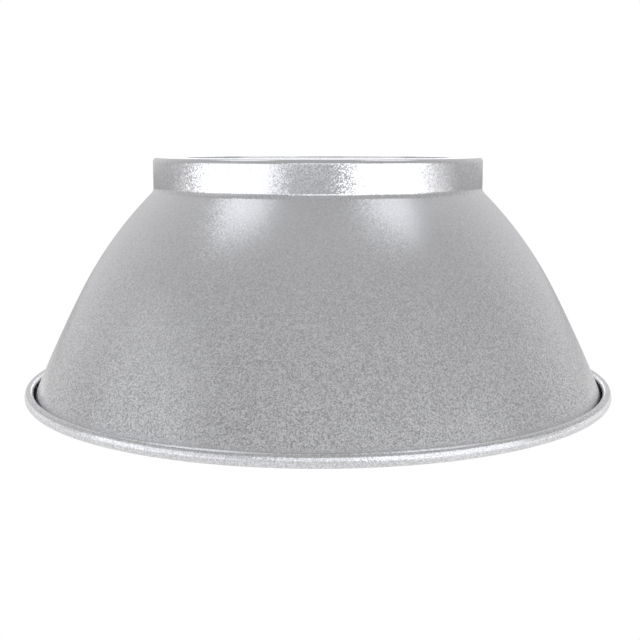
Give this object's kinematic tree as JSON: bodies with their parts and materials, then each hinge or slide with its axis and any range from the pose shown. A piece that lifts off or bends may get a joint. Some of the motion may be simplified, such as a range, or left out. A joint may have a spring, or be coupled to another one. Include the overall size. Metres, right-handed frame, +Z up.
{
  "type": "lamp reflector with turn clips",
  "caption": "Round bell-shaped lamp reflector spun from stippled aluminium, with a wide collar, a holed top flange, an upturned rim and turn clips that hold a lamp ring.",
  "frame": {"origin": "on the reflector's axis, in the plane of the mouth that it stands on", "axes": "+Z up along the reflector's axis, from the mouth to the top flange; +X runs between two of the clips, 30 degrees clockwise of the first, seen from above"},
  "size_m": [0.4, 0.4, 0.16],
  "materials": {
    "spun_aluminium": "stippled satin",
    "spacer_aluminium": "turned",
    "stainless_spring": "brushed",
    "zinc_steel": "bright zinc plated",
    "dark_steel": "black oxide"
  },
  "bodies": {
    "reflector": {"reflector_shell": "spun_aluminium", "clip_stud_1": "zinc_steel", "clip_spacer_1": "spacer_aluminium", "clip_washer_1": "zinc_steel", "clip_spring_washer_1": "dark_steel", "clip_nut_1": "zinc_steel", "clip_stud_2": "zinc_steel", "clip_spacer_2": "spacer_aluminium", "clip_washer_2": "zinc_steel", "clip_spring_washer_2": "dark_steel", "clip_nut_2": "zinc_steel", "clip_stud_3": "zinc_steel", "clip_spacer_3": "spacer_aluminium", "clip_washer_3": "zinc_steel", "clip_spring_washer_3": "dark_steel", "clip_nut_3": "zinc_steel"},
    "clip_1": {"turn_clip_1": "stainless_spring"},
    "clip_2": {"turn_clip_2": "stainless_spring"},
    "clip_3": {"turn_clip_3": "stainless_spring"}
  },
  "joints": [
    {"name": "clip_1_turn", "type": "hinge", "parent": "reflector", "child": "clip_1", "pos_m": [0.0879, 0.05075, 0.154], "axis": [0, 0, 1], "range_deg": [0, 90]},
    {"name": "clip_2_turn", "type": "hinge", "parent": "reflector", "child": "clip_2", "pos_m": [-0.0879, 0.05075, 0.154], "axis": [0, 0, 1], "range_deg": [0, 90]},
    {"name": "clip_3_turn", "type": "hinge", "parent": "reflector", "child": "clip_3", "pos_m": [0, -0.1015, 0.154], "axis": [0, 0, 1], "range_deg": [0, 90]}
  ]
}
